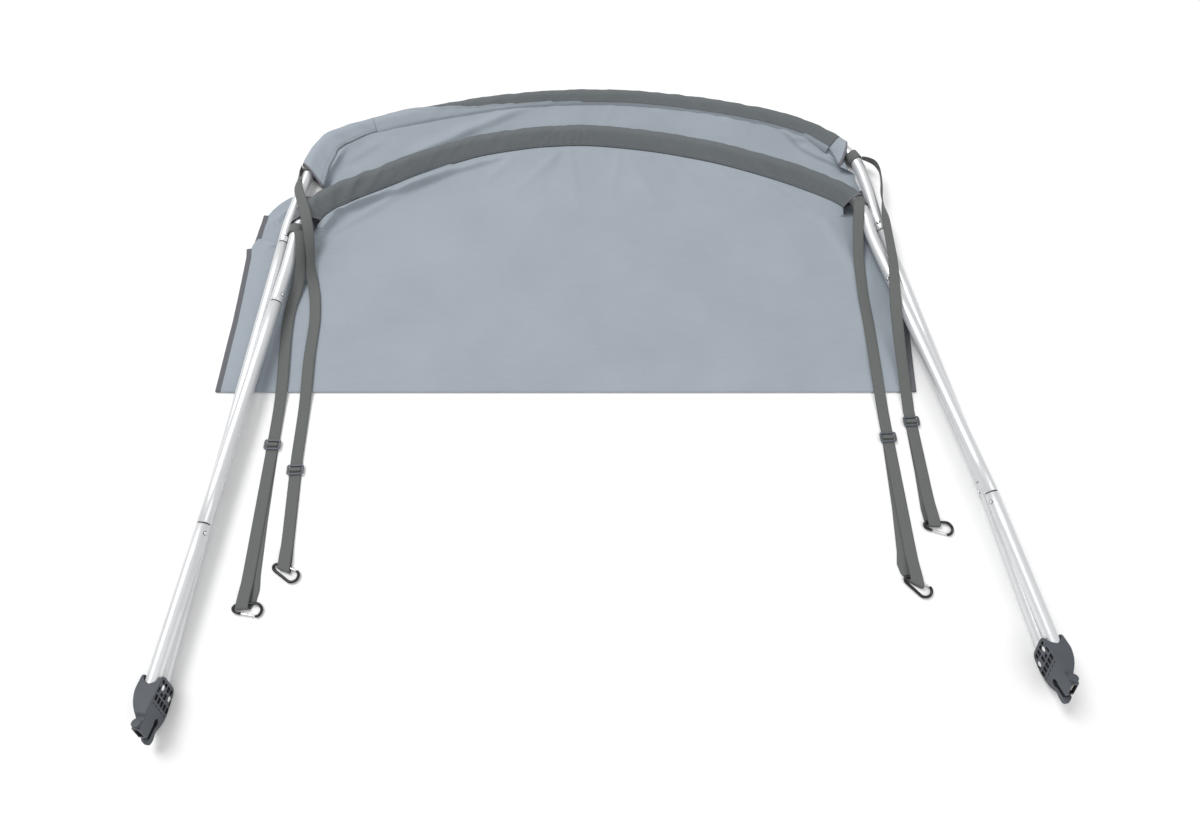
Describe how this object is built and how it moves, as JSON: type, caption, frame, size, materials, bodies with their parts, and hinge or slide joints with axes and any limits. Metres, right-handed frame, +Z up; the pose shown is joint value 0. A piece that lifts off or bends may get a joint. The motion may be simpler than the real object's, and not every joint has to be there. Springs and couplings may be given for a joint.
{
  "type": "bimini top with folding bow frame",
  "caption": "Folded boat sun shade: a cloth canopy with two pole sleeves on two bent tube bows, foot brackets, and adjustable straps with snap hooks.",
  "frame": {"origin": "middle of the footprint of the folded set, on the surface that it lies on", "axes": "+X along the folded canopy from its left end to its right one, +Y from the brackets towards the crowns of the bows, +Z up"},
  "size_m": [1.3842, 1.2824, 0.0804],
  "materials": {
    "tube": "satin anodised tube",
    "cloth": "matt woven polyester",
    "sleeve": "matt woven polyester, darker",
    "binding": "woven tape",
    "webbing": "woven webbing with a herringbone weave",
    "fitting": "moulded plastic",
    "snap_black": "black coated rod",
    "bright": "polished steel"
  },
  "bodies": {
    "frame_and_cover": {"bow_far_arch": "tube", "bow_far_lower_left": "tube", "bow_far_lower_right": "tube", "bow_far_mid_left": "tube", "bow_far_mid_right": "tube", "bow_near_arch": "tube", "bow_near_lower_left": "tube", "bow_near_lower_right": "tube", "bow_near_mid_left": "tube", "bow_near_mid_right": "tube", "canopy_panel": "cloth", "catch_left": "bright", "catch_right": "bright", "cuff_left": "cloth", "cuff_right": "cloth", "edge_binding_left": "binding", "edge_binding_right": "binding", "foot_bracket_left": "fitting", "foot_bracket_right": "fitting", "hook_left_far": "snap_black", "hook_left_near": "snap_black", "hook_right_far": "snap_black", "hook_right_near": "snap_black", "latch_knob_left": "fitting", "latch_knob_right": "fitting", "rivet_far_left": "bright", "rivet_far_right": "bright", "rivet_near_left": "bright", "rivet_near_right": "bright", "sleeve_far": "sleeve", "sleeve_near": "sleeve", "slider_left_far": "fitting", "slider_left_near": "fitting", "slider_right_far": "fitting", "slider_right_near": "fitting", "strap_left_far": "webbing", "strap_left_near": "webbing", "strap_loop_left_far": "webbing", "strap_loop_left_near": "webbing", "strap_loop_right_far": "webbing", "strap_loop_right_near": "webbing", "strap_right_far": "webbing", "strap_right_near": "webbing"},
    "button_far_low_left": {"button_far_low_left": "bright"},
    "button_far_low_right": {"button_far_low_right": "bright"},
    "button_far_top_left": {"button_far_top_left": "bright"},
    "button_far_top_right": {"button_far_top_right": "bright"},
    "button_near_low_left": {"button_near_low_left": "bright"},
    "button_near_low_right": {"button_near_low_right": "bright"},
    "button_near_top_left": {"button_near_top_left": "bright"},
    "button_near_top_right": {"button_near_top_right": "bright"},
    "gate_left_far": {"gate_left_far": "bright"},
    "gate_left_near": {"gate_left_near": "bright"},
    "gate_right_far": {"gate_right_far": "bright"},
    "gate_right_near": {"gate_right_near": "bright"}
  },
  "joints": [
    {"name": "gate_left_far_swing", "type": "hinge", "parent": "frame_and_cover", "child": "gate_left_far", "pos_m": [-0.51996, -0.36999, 0.00451], "axis": [0.0312, 0.0814, -0.9962], "range_deg": [0, 15], "stiffness_Nm_per_rad": 0.02},
    {"name": "gate_left_near_swing", "type": "hinge", "parent": "frame_and_cover", "child": "gate_left_near", "pos_m": [-0.57558, -0.44622, 0.00328], "axis": [0.0076, -0.0868, 0.9962], "range_deg": [0, 15], "stiffness_Nm_per_rad": 0.02},
    {"name": "gate_right_near_swing", "type": "hinge", "parent": "frame_and_cover", "child": "gate_right_near", "pos_m": [0.49116, -0.39175, 0.00451], "axis": [0.0449, 0.0747, -0.9962], "range_deg": [0, 15], "stiffness_Nm_per_rad": 0.02},
    {"name": "gate_right_far_swing", "type": "hinge", "parent": "frame_and_cover", "child": "gate_right_far", "pos_m": [0.53268, -0.31045, 0.00328], "axis": [-0.0038, -0.0871, 0.9962], "range_deg": [0, 15], "stiffness_Nm_per_rad": 0.02},
    {"name": "button_far_low_left_press", "type": "slide", "parent": "frame_and_cover", "child": "button_far_low_left", "axis": [-0.9372, 0.0642, 0.3428], "range_m": [0, 0.0024], "stiffness_N_per_m": 300},
    {"name": "button_far_top_left_press", "type": "slide", "parent": "frame_and_cover", "child": "button_far_top_left", "axis": [-0.4681, 0.0408, -0.8827], "range_m": [0, 0.0024], "stiffness_N_per_m": 300},
    {"name": "button_far_low_right_press", "type": "slide", "parent": "frame_and_cover", "child": "button_far_low_right", "axis": [0.9278, 0.1447, 0.344], "range_m": [0, 0.0024], "stiffness_N_per_m": 300},
    {"name": "button_far_top_right_press", "type": "slide", "parent": "frame_and_cover", "child": "button_far_top_right", "axis": [0.4612, 0.0931, -0.8824], "range_m": [0, 0.0024], "stiffness_N_per_m": 300},
    {"name": "button_near_low_left_press", "type": "slide", "parent": "frame_and_cover", "child": "button_near_low_left", "axis": [-0.9009, 0.0959, -0.4233], "range_m": [0, 0.0024], "stiffness_N_per_m": 300},
    {"name": "button_near_top_left_press", "type": "slide", "parent": "frame_and_cover", "child": "button_near_top_left", "axis": [-0.9012, 0.0878, -0.4245], "range_m": [0, 0.0024], "stiffness_N_per_m": 300},
    {"name": "button_near_low_right_press", "type": "slide", "parent": "frame_and_cover", "child": "button_near_low_right", "axis": [0.8902, 0.167, -0.4238], "range_m": [0, 0.0024], "stiffness_N_per_m": 300},
    {"name": "button_near_top_right_press", "type": "slide", "parent": "frame_and_cover", "child": "button_near_top_right", "axis": [0.881, 0.2046, -0.4266], "range_m": [0, 0.0024], "stiffness_N_per_m": 300}
  ]
}
